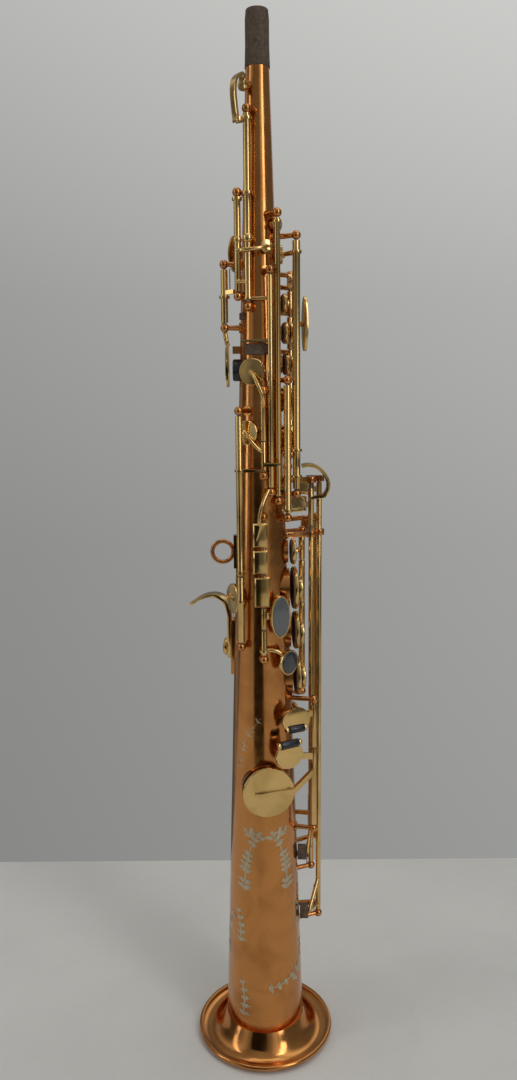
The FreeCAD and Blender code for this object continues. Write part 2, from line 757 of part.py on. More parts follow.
def make_side_c_key():
    hinge = "side_cups"
    cup, pad, crown = cup_and_pad("side_c")
    outward = polar(TONE_HOLES["side_c"][0], 1.0)
    route = [
        crown + outward * 0.5,
        off_body(-97.0, 8.6, 440.0),
        off_body(-87.0, 9.8, 431.5),
        hinge_point(hinge, 424.0),
    ]
    metal = [cup, curved_bar(route, 1.2)]
    solid = key(hinge, [(404.0, 431.0)], metal)
    return [solid.cut(pad), pad]


def make_side_bb_key():
    hinge = "side_cups"
    cup, pad, crown = cup_and_pad("side_bb")
    outward = polar(TONE_HOLES["side_bb"][0], 1.0)
    route = [
        crown + outward * 0.5,
        off_body(-104.0, 5.8, 403.0),
        hinge_point(hinge, 397.0),
    ]
    link_start = hinge_point(hinge, 390.0) + polar(HINGES[hinge][0], 1.4)
    link = strip(link_start, off_body(-59.0, 9.2, 390.0), 2.6, 1.8, ARM_T)
    metal = [cup, curved_bar(route, 1.2), link]
    solid = key(hinge, [(386.0, 403.5)], metal)
    return [solid.cut(pad), pad]


def make_side_bb_rod():
    hinge = "side_bb"
    finger = strip(hinge_point(hinge, 386.5), off_body(-83.5, 7.4, 386.5), 2.6, 0.9, ARM_T)
    metal = [finger, collar(hinge, 386.5, 0.8), collar(hinge, 324.0, 0.8)]
    return [key(hinge, [(322.0, 419.0)], metal)]


def make_trill_cup_key():
    return padded_key("trill", "side_bb", [(280.0, 321.5)], [collar("side_bb", 306.0, 0.8)])


def make_side_touch(name):
    """Bevelled box touch on its own stretch of the side rod."""
    low, high, width, lean = SIDE_TOUCHES[name]
    hinge = "side_touches"
    azimuth = HINGES[hinge][0]
    outward = polar(azimuth, 1.0)
    side = polar(azimuth + 90, 1.0)
    middle = hinge_point(hinge, (low + high) / 2)
    centre = middle + outward * TOUCH_OUT - side * (2.2 - lean)
    length = station(high - low) - 1.0
    box = oriented_box(centre, side, UP, width, length, TOUCH_T)
    edges = [edge for edge in box.Edges if outside_edge(edge, centre, outward)]
    metal = [box.makeChamfer(0.9, edges)]
    if name == "side_e":
        metal.append(curved_bar([
            centre + UP * (length / 2 - 2.0),
            off_body(-92.0, 11.2, 359.5),
            off_body(-88.5, 11.2, 366.0),
            off_body(-83.0, 9.0, 371.0),
            off_body(-77.5, 7.0, 374.5),
        ], 1.2))
    return [key(hinge, [(low, high)], metal)]


def outside_edge(edge, centre, outward):
    return (edge.CenterOfMass - centre).dot(outward) > 1.0


def make_high_fsharp_touch():
    hinge = "side_touches"
    outward = polar(-62.0, 1.0)
    centre = off_body(-63.2, 7.8, 297.0)
    long, wide = FSHARP_PEARL
    holder = oval_plate(centre - outward * 1.2, outward, long + 2 * FSHARP_RIM, wide + 2 * FSHARP_RIM, 2.6)
    pearl = oval_plate(centre, outward, long, wide, PEARL_T)
    arm = strip(hinge_point(hinge, 297.5), centre - outward * 0.7, 4.0, 4.0, ARM_T)
    solid = key(hinge, [(289.0, 302.0)], [holder, arm])
    return [solid.cut(oval_plate(centre, outward, long, wide, 3.0)), pearl]


def make_trill_touch():
    hinge = "side_touches"
    outward = polar(-42.0, 1.0)
    centre = off_body(-52.0, 8.8, 267.5)
    holder = pearl_holder(centre, outward, TRILL_PEARL_R)
    route = [hinge_point(hinge, 275.0), off_body(-66.0, 5.6, 274.5), centre - outward * 0.6]
    solid = key(hinge, [(272.5, 288.0)], [holder, curved_bar(route, 1.3), collar(hinge, 275.0)])
    pearl = pearl_disc(centre, outward, TRILL_PEARL_R)
    return [solid.cut(pearl), pearl]


# ---- left little finger ----
def make_g_sharp_key():
    return padded_key("g_sharp", "g_sharp", [(367.0, 383.5)], [], 376.0)


def make_g_sharp_touch():
    hinge = "pinky_table"
    across = V(0, 1, 0)
    route = [
        hinge_point(hinge, 367.0),
        off_body(6.0, 25.0, 368.5),
        off_body(5.0, 28.0, 376.5),
        off_body(4.5, 24.5, 384.0),
        off_body(3.0, 11.5, 387.5),
    ]
    metal = [strip(route[0], route[1], 3.4, 5.0, 2.0, across)]
    metal.append(rod(route[1] - across * 4.0, route[1] + across * 4.0, 1.15))
    metal.append(curved_strip(route[1:], 8.0, 2.2, across))
    return [key(hinge, [(350.0, 373.5)], metal)]


def pinky_touch(name):
    height, azimuth, standoff, facing, tall, wide = PINKY_TOUCHES[name]
    centre = off_body(azimuth, standoff, height)
    outward = polar(facing, 1.0)
    plate = oriented_box(centre, UP.cross(outward), UP, wide, tall, 2.0)
    edges = [edge for edge in plate.Edges if (edge.CenterOfMass - centre).dot(outward) > 0.6]
    plate = plate.makeChamfer(0.6, edges)
    arm = strip(hinge_point(name, height), centre, 3.4, 3.4, ARM_T)
    return [plate, arm]


def make_low_csharp_key():
    return padded_key("low_csharp", "low_csharp", [(133.0, 350.0)], pinky_touch("low_csharp"))


def make_low_key(name):
    """Low B or low B flat: open cup on the left, long tube, foot with a cork bumper."""
    low, arm_height, gap, root, azimuth, height = LOW_KEYS[name]
    touch = pinky_touch(name)
    outward, z, rim, hole_r = hole_frame(name)
    cup, pad, crown = cup_and_pad(name)
    arm = cup_arm(name, name, arm_height)
    solid = key(name, [(low, 376.5)], [cup] + arm + touch).cut(pad)
    angle = open_angle(name, name, gap)
    solid, pad = open_by([solid, pad], name, angle)
    tip = off_body(azimuth, BUMPER + 1.4, height)
    foot = bar([hinge_point(name, root), tip], 1.3)
    brace = bar([hinge_point(name, height - 4.0), tip], 1.0)
    cork_centre = off_body(azimuth, BUMPER / 2 + 0.5, height)
    outward = polar(azimuth, 1.0)
    cork = oriented_box(cork_centre, outward, UP, BUMPER, BUMPER * 1.5, BUMPER)
    bore_start = hinge_point(name, low - 5)
    foot = foot.fuse(brace).cut(rod(bore_start, hinge_point(name, 400.0), ROD_R + ROD_FIT))
    solid = solid.fuse(foot).cut(cork)
    return [solid.removeSplitter(), pad, cork]


# ---- right little finger ----


def plate_frame(name):
    azimuth, standoff, height, width, tall, shift, length = PINKY_PLATES[name]
    outward = polar(PLATE_FACING, 1.0)
    side = UP.cross(outward)
    centre = off_body(azimuth, standoff, height)
    return centre, outward, side


def roller_line(name):
    centre, outward, side = plate_frame(name)
    shift = PINKY_PLATES[name][5]
    length = PINKY_PLATES[name][6]
    middle = centre + UP * shift + outward * 0.4
    return middle - side * (length / 2), middle + side * (length / 2)


def make_roller(name):
    start, end = roller_line(name)
    roller = rod(start, end, ROLLER_R)
    return [roller.cut(rod(start, end, ROLLER_PIN_R + ROD_FIT))]


def pinky_plate(name, hinge, root):
    """Touch plate with a slot for its roller and a pin through the slot."""
    centre, outward, side = plate_frame(name)
    azimuth, standoff, height, width, tall, shift, length = PINKY_PLATES[name]
    plate = oval_plate(centre - outward * 1.0, outward, tall, width, 2.0)
    start, end = roller_line(name)
    along = (end - start).normalize()
    slot = rod(start - along * 0.3, end + along * 0.3, ROLLER_R + 0.4)
    lugs = []
    for point, way in ((start, -1), (end, 1)):
        lug_start = point + along * (0.3 * way)
        lug_end = point + along * (1.9 * way)
        lugs.append(rod(lug_start, lug_end, 1.9))
    frame = [plate.cut(slot)] + lugs
    pin = rod(start - along * 1.0, end + along * 1.0, ROLLER_PIN_R)
    arm = strip(hinge_point(hinge, root), centre - outward * 0.4, 4.0, 4.0, 2.0)
    return frame + [pin, arm.cut(slot)]


def make_low_c_key():
    hinge = "right_pinky"
    cup, pad, crown = cup_and_pad("low_c")
    outward = polar(TONE_HOLES["low_c"][0], 1.0)
    side = UP.cross(outward)
    far = crown + outward * 0.5 - side * 9.0
    near = crown + outward * 0.8 + side * 15.5
    metal = [cup, strip(far, near, 2.0, 4.2, 1.8)]
    metal.append(strip(near - side * 0.5, hinge_point(hinge, 190.0), 4.2, 4.0, 2.2))
    metal += pinky_plate("low_c", hinge, 200.0)
    solid = key(hinge, [(153.0, 206.0)], metal).cut(pad)
    angle = open_angle("low_c", hinge, LOW_C_GAP)
    return open_by([solid, pad], hinge, angle)


def make_low_eb_key():
    hinge = "right_pinky"
    metal = pinky_plate("low_eb", hinge, 230.0)
    return padded_key("low_eb", hinge, [(206.5, 235.5)], metal)


def make_low_c_roller():
    angle = open_angle("low_c", "right_pinky", LOW_C_GAP)
    return open_by(make_roller("low_c"), "right_pinky", angle)


# ---- posts, rods and springs ----


def make_posts():
    """A post at each end of a hinge, unless a comb plate carries that end."""
    posts = make_key_guard()
    for name in HINGES:
        azimuth, standoff, low, high, radius = HINGES[name]
        if name != "pinky_table":
            posts.append(post(name, low))
        if name not in BRACKET_HINGES:
            posts.append(post(name, high))
    return posts


def make_hinge_rods():
    rods = []
    for name in HINGES:
        low = hinge_point(name, HINGES[name][2]) - UP * (BALL_R * 0.5)
        high = hinge_point(name, HINGES[name][3]) + UP * (BALL_R * 0.5)
        rods.append(rod(low, high, ROD_R))
    return rods


def bracket(height, hinges, clear_r):
    """Comb plate that carries the little-finger hinges, on one stem from the tube."""
    z = station(height)
    half = UP * (BRACKET_T / 2)
    points = [hinge_point(name, height) for name in hinges]
    pieces = []
    for point in points:
        pieces.append(rod(point - half, point + half, 3.4))
    for start, end in zip(points, points[1:]):
        pieces.append(strip(start, end, BRACKET_T * 0.9, BRACKET_T * 0.9, 4.6))
    root = polar(BRACKET_STEM, body_radius(z) - 1.5, z)
    pieces.append(strip(root, points[0], BRACKET_T * 0.9, BRACKET_T * 0.9, 4.6))
    pieces.append(disc(root, polar(BRACKET_STEM, 1.0), FOOT_R, 1.5 + FOOT_T))
    plate = merge(pieces)
    for name, point in zip(hinges, points):
        radius = clear_r.get(name, ROD_R)
        plate = plate.cut(rod(point - half * 3, point + half * 3, radius))
    return plate.cut(tube_solid())


def make_pinky_bracket():
    passing = {name: hinge_radius(name) + END_GAP for name in BRACKET_HINGES[1:]}
    return [bracket(LOWER_BRACKET, BRACKET_HINGES, passing),
            bracket(UPPER_BRACKET, BRACKET_HINGES, {})]


def make_needle_springs():
    wires = []
    for name, low, length in NEEDLE_SPRINGS:
        azimuth = HINGES[name][0]
        centre = hinge_point(name, low)
        inward = polar(azimuth, hinge_radius(name) + 1.3)
        start = centre - inward
        wires.append(rod(start, start + UP * length, SPRING_R))
    return wires


# ---- fixed fittings ----


def make_strap_ring():
    z = station(RING_HEIGHT)
    surface = body_radius(z)
    reach = max(RING_CENTRE_OUT, surface + RING_R + 1.9)
    ring = Part.makeTorus(RING_R, RING_WIRE_R, V(-reach, 0, z), V(0, 1, 0))
    depth, width, tall = RING_BASE
    base = Part.makeBox(depth, width, tall, V(-surface - 1.6, -width / 2, z - tall / 2))
    neck = rod(V(-surface, 0, z), V(-reach + RING_R, 0, z), 1.9)
    inside = Part.makeCylinder(RING_R - RING_WIRE_R, 8, V(-reach, -4, z), V(0, 1, 0))
    return [merge([ring, base, neck.cut(inside)]).cut(tube_solid())]


def make_thumb_rest():
    z = station(THUMB_REST_HEIGHT)
    surface = body_radius(z)
    outward = polar(180, 1.0)
    pad = disc(polar(180, surface - 4.0, z), outward, THUMB_REST_R, THUMB_REST_PROUD + 4.0)
    pad = pad.makeChamfer(0.8, crown_edges(pad, polar(180, surface + THUMB_REST_PROUD, z)))
    return [pad.cut(tube_solid())]


def make_key_guard():
    """Small block above the thumb rest."""
    block_z = station(GUARD_HEIGHT)
    surface = body_radius(block_z)
    depth, width, tall = GUARD_SIZE
    corner = V(-surface - depth + 2.0, -width / 2, block_z - tall / 2)
    block = Part.makeBox(depth, width, tall, corner)
    return [block.cut(tube_solid())]


def make_cork_bumpers():
    bumpers = []
    for azimuth, height, tall, width, proud in BUMPERS:
        z = station(height)
        outward = polar(azimuth, 1.0)
        depth = proud + width * width / (8 * body_radius(z)) + 1.0
        centre = polar(azimuth, body_radius(z) + proud - depth / 2, z)
        block = oriented_box(centre, outward, UP, depth, tall, width)
        bumpers.append(block.cut(tube_solid()))
    return bumpers


def hook_point(radial, height, shift=0.0):
    """Point in the hook's own upright plane, measured from the tube's surface."""
    base = body_radius(station(SCREW_HEIGHT))
    return polar(HOOK_AZIMUTH, base + radial, station(height) + shift)


def make_hook_plate():
    outward = polar(HOOK_AZIMUTH, 1.0)
    middle = (HOOK_LOW + HOOK_HIGH) / 2
    centre = hook_point(-0.6, middle)
    length = station(HOOK_HIGH - HOOK_LOW)
    plate = oriented_box(centre, outward, UP, 5.2, length, HOOK_WIDTH)
    thread = rod(hook_point(-4, SCREW_HEIGHT), hook_point(4, SCREW_HEIGHT), SCREW_R + ROD_FIT)
    return [plate.cut(tube_solid()).cut(thread)]


def make_thumb_hook():
    outward = polar(HOOK_AZIMUTH, 1.0)
    across = UP.cross(outward)
    top = station(HOOK_HIGH)
    back = HOOK_PLATE_PROUD + HOOK_FIT + HOOK_T / 2
    foot = hook_point(back, SCREW_HEIGHT - 6.5)
    profile = [foot, hook_point(back, HOOK_HIGH, -1.0)]
    bend = (0.6, 6.5), (2.6, 11.0), (6.5, 14.3), (11.5, 15.2), (17.0, 14.2), (21.5, 12.0), (25.2, 9.4)
    for out, rise in bend:
        profile.append(hook_point(back + out, HOOK_HIGH, rise))
    shank = strip(profile[0], profile[1], HOOK_WIDTH, HOOK_WIDTH, HOOK_T, across)
    tip = profile[-1]
    half = across * (HOOK_WIDTH / 2)
    pieces = [shank, curved_strip(profile[1:], HOOK_WIDTH, HOOK_T, across)]
    for point in (profile[1], tip):
        pieces.append(rod(point - half, point + half, HOOK_T / 2))
    hook = merge(pieces)
    slot_low = hook_point(back, SCREW_HEIGHT, -HOOK_TRAVEL - 0.2)
    slot_high = hook_point(back, SCREW_HEIGHT, HOOK_TRAVEL + 0.2)
    for point in (slot_low, slot_high):
        hook = hook.cut(rod(point - outward * 3, point + outward * 3, 2.0))
    middle = (slot_low + slot_high) * 0.5
    return [hook.cut(oriented_box(middle, outward, UP, 6, 2 * HOOK_TRAVEL, 4.0))]


def make_hook_screw():
    outward = polar(HOOK_AZIMUTH, 1.0)
    face = HOOK_PLATE_PROUD + HOOK_FIT + HOOK_T + 0.2
    shaft = rod(hook_point(0.2, SCREW_HEIGHT), hook_point(face + 0.5, SCREW_HEIGHT), SCREW_R)
    knob = disc(hook_point(face, SCREW_HEIGHT), outward, KNOB_R, KNOB_T)
    knob = knob.makeChamfer(0.9, crown_edges(knob, hook_point(face + KNOB_T, SCREW_HEIGHT)))
    return [merge([shaft, knob])]


# ---- everything, by node name ----
def build_nodes():
    nodes = {
        "body_tube": [make_body()],
        "bell_flare": [make_bell()],
        "bell_ring": [make_bell_ring()],
        "neck_cork": [make_cork()],
        "octave_pips": make_octave_pips(),
        "strap_ring": make_strap_ring(),
        "thumb_rest": make_thumb_rest(),
        "thumb_hook_plate": make_hook_plate(),
        "thumb_hook": make_thumb_hook(),
        "thumb_hook_screw": make_hook_screw(),
        "cork_bumpers": make_cork_bumpers(),
        "key_posts": make_posts(),
        "hinge_rods": make_hinge_rods(),
        "needle_springs": make_needle_springs(),
        "pinky_bracket": make_pinky_bracket(),
        "neck_octave_key": make_neck_octave_key(),
        "body_octave_key": make_body_octave_key(),
        "octave_thumb_lever": make_octave_thumb_lever(),
        "octave_link": make_octave_link(),
        "front_f_key": make_front_f_key(),
        "high_e_key": make_high_e_key(),
        "high_fsharp_key": make_high_fsharp_key(),
        "articulation_lever": make_articulation_lever(),
        "side_c_key": make_side_c_key(),
        "side_bb_key": make_side_bb_key(),
        "side_bb_rod": make_side_bb_rod(),
        "trill_cup_key": make_trill_cup_key(),
        "trill_touch": make_trill_touch(),
        "g_sharp_key": make_g_sharp_key(),
        "g_sharp_touch": make_g_sharp_touch(),
        "low_csharp_key": make_low_csharp_key(),
        "low_c_key": make_low_c_key(),
        "low_eb_key": make_low_eb_key(),
        "low_c_roller": make_low_c_roller(),
        "low_eb_roller": make_roller("low_eb"),
    }
    for name in PALM_KEYS:
        nodes[name + "_key"] = make_palm_key(name)
    for name in SIDE_TOUCHES:
        nodes[name + "_touch"] = make_side_touch(name)
    for name in LOW_KEYS:
        nodes[name + "_key"] = make_low_key(name)
    holder, pearl = make_high_fsharp_touch()
    nodes["high_fsharp_touch"] = [holder]
    nodes["high_fsharp_pearl"] = [pearl]
    for name in STACK_KEYS:
        shapes = make_stack_key(name)
        if name in ("bis", "c", "f_sharp"):
            nodes[name + "_key"] = shapes
        else:
            nodes[name + "_key"] = shapes[:2]
            nodes[name + "_pearl"] = shapes[2:]
    return nodes


def write(name, shapes):
    shape = shapes[0] if len(shapes) == 1 else Part.makeCompound(shapes)
    shape.exportStep(os.path.join("parts", name + ".step"))


def main():
    os.makedirs("parts", exist_ok=True)
    for name, shapes in build_nodes().items():
        write(name, shapes)


if __name__ == "__main__":
    main()
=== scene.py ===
"""Soprano saxophone: finishes, worked surfaces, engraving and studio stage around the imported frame."""

import json
import math

import bpy
from bpy.props import FloatProperty, FloatVectorProperty, IntProperty, PointerProperty
from bpy.types import Operator, Panel, PropertyGroup
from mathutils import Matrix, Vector

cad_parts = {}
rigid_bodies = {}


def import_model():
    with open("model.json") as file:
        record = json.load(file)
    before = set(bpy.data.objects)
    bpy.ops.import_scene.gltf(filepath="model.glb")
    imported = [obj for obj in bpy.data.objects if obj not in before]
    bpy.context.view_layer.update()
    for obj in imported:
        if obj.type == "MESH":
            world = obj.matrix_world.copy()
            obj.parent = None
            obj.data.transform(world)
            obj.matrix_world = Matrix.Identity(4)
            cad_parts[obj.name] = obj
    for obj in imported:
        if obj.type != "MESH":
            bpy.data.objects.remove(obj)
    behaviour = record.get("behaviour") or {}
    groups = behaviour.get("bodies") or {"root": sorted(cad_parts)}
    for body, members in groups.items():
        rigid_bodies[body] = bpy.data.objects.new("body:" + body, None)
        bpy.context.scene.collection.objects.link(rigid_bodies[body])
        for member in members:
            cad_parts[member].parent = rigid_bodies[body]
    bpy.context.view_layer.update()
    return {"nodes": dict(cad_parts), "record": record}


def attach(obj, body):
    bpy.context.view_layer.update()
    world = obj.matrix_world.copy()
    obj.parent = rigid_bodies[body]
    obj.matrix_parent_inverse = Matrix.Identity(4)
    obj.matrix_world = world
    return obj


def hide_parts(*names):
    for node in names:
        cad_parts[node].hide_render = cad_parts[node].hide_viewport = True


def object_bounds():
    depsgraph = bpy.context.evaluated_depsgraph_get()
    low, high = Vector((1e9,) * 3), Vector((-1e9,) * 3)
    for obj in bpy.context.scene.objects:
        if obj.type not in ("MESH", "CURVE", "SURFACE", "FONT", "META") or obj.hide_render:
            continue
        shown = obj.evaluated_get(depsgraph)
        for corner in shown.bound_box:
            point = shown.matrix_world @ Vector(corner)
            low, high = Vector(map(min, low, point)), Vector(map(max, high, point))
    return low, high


bl_info = {
    "name": "Soprano Saxophone",
    "version": (1, 0, 0),
    "blender": (4, 5, 0),
    "location": "3D View > Sidebar > Saxophone",
    "description": "Builds the finished surfaces, pads, pearls, engraving and stage of a soprano saxophone",
    "category": "Add Mesh",
}

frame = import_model()
FRAME_LOW, FRAME_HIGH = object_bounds()
MM = 0.001

# Which body every node rides on.
BODY_OF_NODE = {}
for body_name, members in frame["record"]["behaviour"]["bodies"].items():
    for member in members:
        BODY_OF_NODE[member] = body_name

# The tube tapers evenly from the bell up to the neck.
TUBE_BASE_RADIUS = 26.3 * MM
TUBE_TAPER = 0.03123

COPPER_NODES = ("pinky_bracket", "thumb_hook_plate")
PEARL_NODES = ("a_pearl", "b_pearl", "d_pearl", "e_pearl", "f_pearl", "g_pearl", "high_fsharp_pearl")
ROLLER_NODES = ("low_c_roller", "low_eb_roller")
BRASS_NODES = ("thumb_hook", "thumb_hook_screw")
STEEL_NODES = ("hinge_rods", "needle_springs")
# Nodes of revolution and long runs keep their own exact surface.
KEPT_NODES = (
    "body_tube",
    "bell_flare",
    "bell_ring",
    "key_posts",
    "strap_ring",
    "octave_pips",
    "hinge_rods",
    "needle_springs",
)
# A key's first solid is its metal; these are the finishes of the others, in order.
INNER_FINISHES = {
    "bis_key": ("pad_leather", "pearl"),
    "front_f_key": ("pearl",),
    "trill_touch": ("dark_pearl",),
    "low_b_key": ("pad_leather", "bumper_cork"),
    "low_bb_key": ("pad_leather", "bumper_cork"),
}
PLAIN_KEY_FINISHES = ("pad_leather",)

# Settings of the mesh work.
GRID_PER_METRE = 1e7
WELD_DISTANCE = 0.002 * MM
FLAT_ANGLE = math.radians(0.4)
ENGRAVING_CREASE = math.radians(40)

# Room light: (share of the way, brightness) along the height and across the width. The first two
# stops of each list are its ends.
WALL_BY_HEIGHT = ((0.25, 0.28), (0.70, 0.54), (0.42, 0.31), (0.557, 0.38))
WALL_BY_WIDTH = ((0.36, 0.88), (0.64, 1.14))
POLISH_BY_HEIGHT = ((0.40, 0.14), (0.98, 0.42), (0.50, 0.16), (0.62, 0.20))
POLISH_BY_WIDTH = (
    (0.02, 0.5),
    (0.98, 0.7),
    (0.12, 1.9),
    (0.22, 0.6),
    (0.40, 0.8),
    (0.60, 0.7),
    (0.72, 2.8),
    (0.84, 0.6),
)
WALL_WARMTH = 0.985

# Each softbox: name, place, target height as a share of the instrument, size, share of the power.
SOFTBOXES = (
    ("key_softbox", (0.80, -0.85, 0.95), 0.5, (0.30, 1.1), 1.0),
    ("side_softbox", (-1.05, -0.30, 0.70), 0.5, (0.20, 1.1), 0.35),
    ("top_softbox", (0.0, 0.1, 1.7), 0.0, (0.9, 0.9), 0.7),
)
CARD_LEFT, CARD_RIGHT = -0.34, 0.04
CARD_LOW, CARD_HIGH = 0.0, 0.40
CARD_DEPTH = -0.50
FLOOR_HALF_WIDTH = 1.6
FLOOR_FRONT = -1.4
FLOOR_GAP = 0.0002
SENSOR_WIDTH = 36.0


class SaxophoneSizes(PropertyGroup):
    """Sizes of the surface work, in metres."""

    edge_break: FloatProperty(
        name="Edge Break",
        description="Width of the softened edge on posts and keys",
        default=0.12 * MM,
        unit="LENGTH",
    )
    pearl_round: FloatProperty(
        name="Pearl Round",
        description="Width of the rounded edge of a finger pearl",
        default=0.35 * MM,
        unit="LENGTH",
    )
    engraving_proud: FloatProperty(
        name="Engraving Proud",
        description="Height of the burr that the graver raises on the tube",
        default=0.06 * MM,
        unit="LENGTH",
    )
    crease_angle: FloatProperty(
        name="Crease Angle",
        description="Edges sharper than this stay crisp",
        default=math.radians(32),
        subtype="ANGLE",
    )
    bevel_segments: IntProperty(
        name="Edge Segments",
        description="Segments in each softened edge",
        default=2,
        min=1,
    )


class SaxophoneFinishes(PropertyGroup):
    """Colours of the finishes."""

    copper: FloatVectorProperty(
        name="Copper Lacquer",
        description="Colour of the lacquered body, posts and bell",
        default=(0.64, 0.272, 0.074),
        subtype="COLOR",
    )
    copper_deep: FloatVectorProperty(
        name="Aged Copper",
        description="Colour where the lacquer has deepened",
        default=(0.46, 0.178, 0.042),
        subtype="COLOR",
    )
    brass: FloatVectorProperty(
        name="Gold Brass",
        description="Colour of the keywork",
        default=(0.80, 0.53, 0.20),
        subtype="COLOR",
    )
    brass_deep: FloatVectorProperty(
        name="Aged Brass",
        description="Colour where the keywork has mellowed",
        default=(0.58, 0.36, 0.11),
        subtype="COLOR",
    )
    cork: FloatVectorProperty(
        name="Cork",
        description="Colour of the greased neck cork",
        default=(0.115, 0.078, 0.052),
        subtype="COLOR",
    )
    leather: FloatVectorProperty(
        name="Pad Leather",
        description="Colour of the pads",
        default=(0.32, 0.17, 0.08),
        subtype="COLOR",
    )
    pearl: FloatVectorProperty(
        name="Pearl",
        description="Colour of the finger pearls",
        default=(0.13, 0.135, 0.135),
        subtype="COLOR",
    )


class SaxophoneStage(PropertyGroup):
    """Camera, floor and light."""

    camera_distance: FloatProperty(
        name="Camera Distance",
        description="Distance from the bore axis to the lens",
        default=0.530,
        unit="LENGTH",
    )
    camera_height: FloatProperty(
        name="Camera Height", description="Height of the lens", default=0.427, unit="LENGTH"
    )
    camera_pitch: FloatProperty(
        name="Camera Pitch",
        description="How far the camera looks down",
        default=math.radians(9.2),
        subtype="ANGLE",
    )
    camera_roll: FloatProperty(
        name="Camera Roll",
        description="Turn of the camera about its own line of sight",
        default=math.radians(0.49),
        subtype="ANGLE",
    )
    lens: FloatProperty(
        name="Lens", description="Focal length on a 36 mm long side", default=28.33, unit="CAMERA"
    )
    shift_x: FloatProperty(
        name="Sideways Shift", description="Shift of the frame to the side", default=-0.0015
    )
    floor_depth: FloatProperty(
        name="Floor Depth",
        description="Distance from the instrument to the back edge of the floor",
        default=0.215,
        unit="LENGTH",
    )
    floor_colour: FloatVectorProperty(
        name="Floor Colour",
        description="Colour of the pale floor",
        default=(0.80, 0.79, 0.76),
        subtype="COLOR",
    )
    light_power: FloatProperty(
        name="Light Power", description="Power of the main softbox", default=3.0, unit="POWER"
    )


# ---- finishes ----
class Finish:
    """A material with one shader, and short calls for the nodes that feed it."""

    def __init__(self, name, roughness, metallic=0.0):
        self.material = bpy.data.materials.new(name)
        self.material.use_nodes = True
        self.nodes = self.material.node_tree.nodes
        self.links = self.material.node_tree.links
        self.nodes.clear()
        self.shader = self.nodes.new("ShaderNodeBsdfPrincipled")
        output = self.nodes.new("ShaderNodeOutputMaterial")
        self.links.new(self.shader.outputs["BSDF"], output.inputs["Surface"])
        self.place = self.nodes.new("ShaderNodeTexCoord").outputs["Object"]
        self.set("Roughness", roughness)
        self.set("Metallic", metallic)
        self.bump = None

    def set(self, socket, value):
        self.shader.inputs[socket].default_value = value

    def feed(self, socket, source):
        self.links.new(source, self.shader.inputs[socket])

    def stretched(self, scale):
        mapping = self.nodes.new("ShaderNodeMapping")
        mapping.inputs["Scale"].default_value = scale
        self.links.new(self.place, mapping.inputs["Vector"])
        return mapping.outputs["Vector"]

    def noise(self, scale, detail=3.0, rough=0.5, distortion=0.0, stretch=(1, 1, 1)):
        node = self.nodes.new("ShaderNodeTexNoise")
        node.inputs["Scale"].default_value = scale
        node.inputs["Detail"].default_value = detail
        node.inputs["Roughness"].default_value = rough
        node.inputs["Distortion"].default_value = distortion
        self.links.new(self.stretched(stretch), node.inputs["Vector"])
        return node.outputs["Fac"]

    def cells(self, scale):
        node = self.nodes.new("ShaderNodeTexVoronoi")
        node.inputs["Scale"].default_value = scale
        self.links.new(self.stretched((1, 1, 1)), node.inputs["Vector"])
        return node.outputs["Distance"]

    def ramp(self, source, stops):
        node = self.nodes.new("ShaderNodeValToRGB")
        elements = node.color_ramp.elements
        elements[0].position = stops[0][0]
        elements[0].color = tuple(stops[0][1]) + (1.0,)
        elements[1].position = stops[-1][0]
        elements[1].color = tuple(stops[-1][1]) + (1.0,)
        for position, colour in stops[1:-1]:
            element = elements.new(position)
            element.color = tuple(colour) + (1.0,)
        self.links.new(source, node.inputs["Fac"])
        return node.outputs["Color"]

    def spread(self, source, low, high, start=0.3, end=0.7):
        node = self.nodes.new("ShaderNodeMapRange")
        node.inputs["From Min"].default_value = start
        node.inputs["From Max"].default_value = end
        node.inputs["To Min"].default_value = low
        node.inputs["To Max"].default_value = high
        self.links.new(source, node.inputs["Value"])
        return node.outputs["Result"]

    def multiply(self, first, second, amount=1.0):
        node = self.nodes.new("ShaderNodeMix")
        node.data_type = "RGBA"
        node.blend_type = "MULTIPLY"
        node.inputs["Factor"].default_value = amount
        self.links.new(first, node.inputs["A"])
        self.links.new(second, node.inputs["B"])
        return node.outputs["Result"]

    def relief(self, height, strength, distance):
        node = self.nodes.new("ShaderNodeBump")
        node.inputs["Strength"].default_value = strength
        node.inputs["Distance"].default_value = distance
        self.links.new(height, node.inputs["Height"])
        if self.bump is not None:
            self.links.new(self.bump, node.inputs["Normal"])
        self.bump = node.outputs["Normal"]
        self.links.new(self.bump, self.shader.inputs["Normal"])


def shade(colour, factor):
    return tuple(channel * factor for channel in colour)


def lacquered_metal(name, bright, deep, roughness, drawn):
    """Polished metal under clear lacquer: slow tone changes, polishing lines, handling haze."""
    finish = Finish(name, roughness, metallic=1.0)
    tone = finish.noise(scale=38, detail=4, distortion=0.6)
    colour = finish.ramp(tone, [(0.30, deep), (0.52, bright), (0.75, shade(bright, 1.06))])
    specks = finish.noise(scale=1600, detail=2)
    freckle = finish.ramp(specks, [(0.24, (0.72, 0.66, 0.60)), (0.34, (1, 1, 1))])
    finish.feed("Base Color", finish.multiply(colour, freckle, 0.55))
    haze = finish.noise(scale=120, detail=5, rough=0.6, distortion=0.8)
    finish.feed("Roughness", finish.spread(haze, roughness * 0.75, roughness * 1.6))
    lines = finish.noise(scale=900, detail=2, stretch=drawn)
    finish.relief(lines, 0.035, 0.00012)
    waves = finish.noise(scale=55, detail=1)
    finish.relief(waves, 0.05, 0.0006)
    finish.set("Coat Weight", 0.35)
    finish.set("Coat Roughness", 0.06)
    return finish.material


